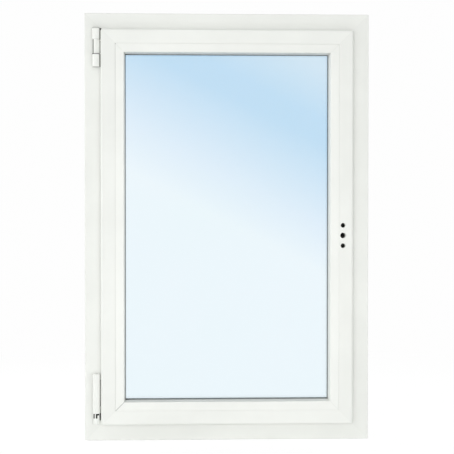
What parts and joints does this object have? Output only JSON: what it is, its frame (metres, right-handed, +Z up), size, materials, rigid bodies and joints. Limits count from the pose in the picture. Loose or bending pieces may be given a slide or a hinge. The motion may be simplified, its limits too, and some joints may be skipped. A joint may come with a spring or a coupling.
{
  "type": "single-sash window",
  "caption": "White plastic inward-opening window with one hinged sash, double glazing, clip-in beads, barrel hinges on the left and bare handle holes on the right.",
  "frame": {"origin": "middle of the frame's underside, on the sill face at half the frame's depth", "axes": "+X along the sill towards the handle side, +Z up, -Y towards the room"},
  "size_m": [0.6, 0.092, 0.9],
  "materials": {
    "white_pvc": "satin",
    "seal_rubber": "matte",
    "pane_glass": "clear",
    "spacer_metal": "satin",
    "white_hinge": "gloss",
    "hinge_steel": "satin",
    "gear_zinc": "satin",
    "dark_plastic": "matte"
  },
  "bodies": {
    "root": {"frame_head": "white_pvc", "frame_sill": "white_pvc", "frame_hinge_jamb": "white_pvc", "frame_lock_jamb": "white_pvc", "sash_top_rail": "white_pvc", "sash_bottom_rail": "white_pvc", "sash_hinge_stile": "white_pvc", "sash_lock_stile": "white_pvc", "bead_top": "white_pvc", "bead_bottom": "white_pvc", "bead_hinge_side": "white_pvc", "bead_lock_side": "white_pvc", "corner_hinge_cover": "white_pvc", "drain_cover_left": "white_pvc", "drain_cover_right": "white_pvc", "frame_gasket": "seal_rubber", "sash_gasket": "seal_rubber", "inner_glazing_gasket": "seal_rubber", "outer_glazing_gasket": "seal_rubber", "inner_pane": "pane_glass", "outer_pane": "pane_glass", "spacer_frame": "spacer_metal", "top_hinge_bracket": "white_hinge", "top_hinge_eye": "white_hinge", "corner_bearing": "white_hinge", "top_hinge_pin": "hinge_steel", "corner_pivot_pin": "hinge_steel", "corner_hinge_barrel": "hinge_steel", "lock_gearbox": "gear_zinc", "gear_follower": "gear_zinc", "corner_bearing_bush": "dark_plastic", "glazing_blocks": "dark_plastic"}
  },
  "joints": []
}
